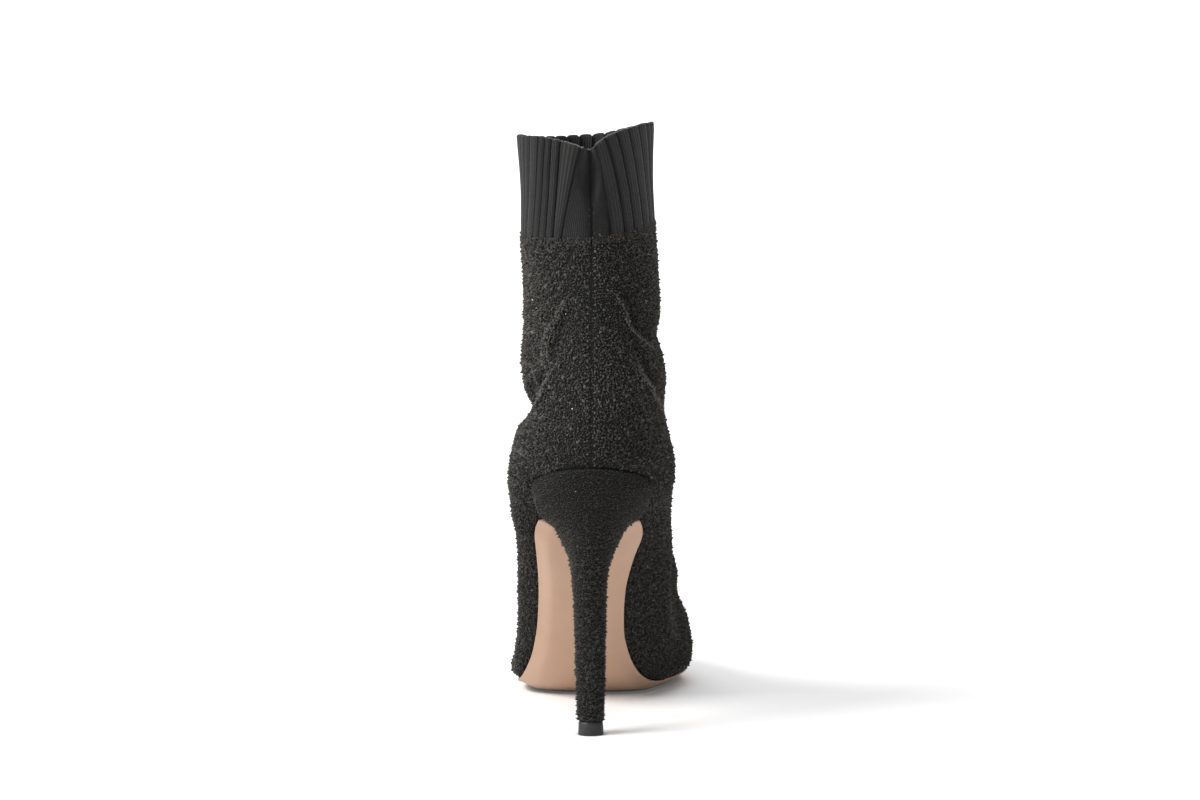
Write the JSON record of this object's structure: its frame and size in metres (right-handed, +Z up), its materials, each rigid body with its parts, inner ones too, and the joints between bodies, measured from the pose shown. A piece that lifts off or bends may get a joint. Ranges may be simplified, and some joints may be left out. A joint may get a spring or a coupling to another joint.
{
  "type": "knit ankle boot",
  "caption": "High-heeled ankle boot for the left foot: hollow looped-knit sock upper with a ribbed cuff, pointed toe, thin leather sole and a slim covered heel.",
  "frame": {"origin": "on the floor, under the middle of the boot's box", "axes": "+Y towards the toe, +X towards the inner side of the foot, +Z up"},
  "size_m": [0.0729, 0.228, 0.2407],
  "materials": {
    "boucle_knit": "matt black loop knit",
    "rib_knit": "matt charcoal rib knit",
    "nude_leather": "smooth, satin",
    "lining": "smooth, matt",
    "heel_cover": "matt black loop knit, stretched over the heel",
    "black_rubber": "satin"
  },
  "bodies": {
    "root": {"upper": "boucle_knit", "rib_cuff": "rib_knit", "outsole": "nude_leather", "insole": "lining", "heel": "heel_cover", "top_lift": "black_rubber"}
  },
  "joints": []
}
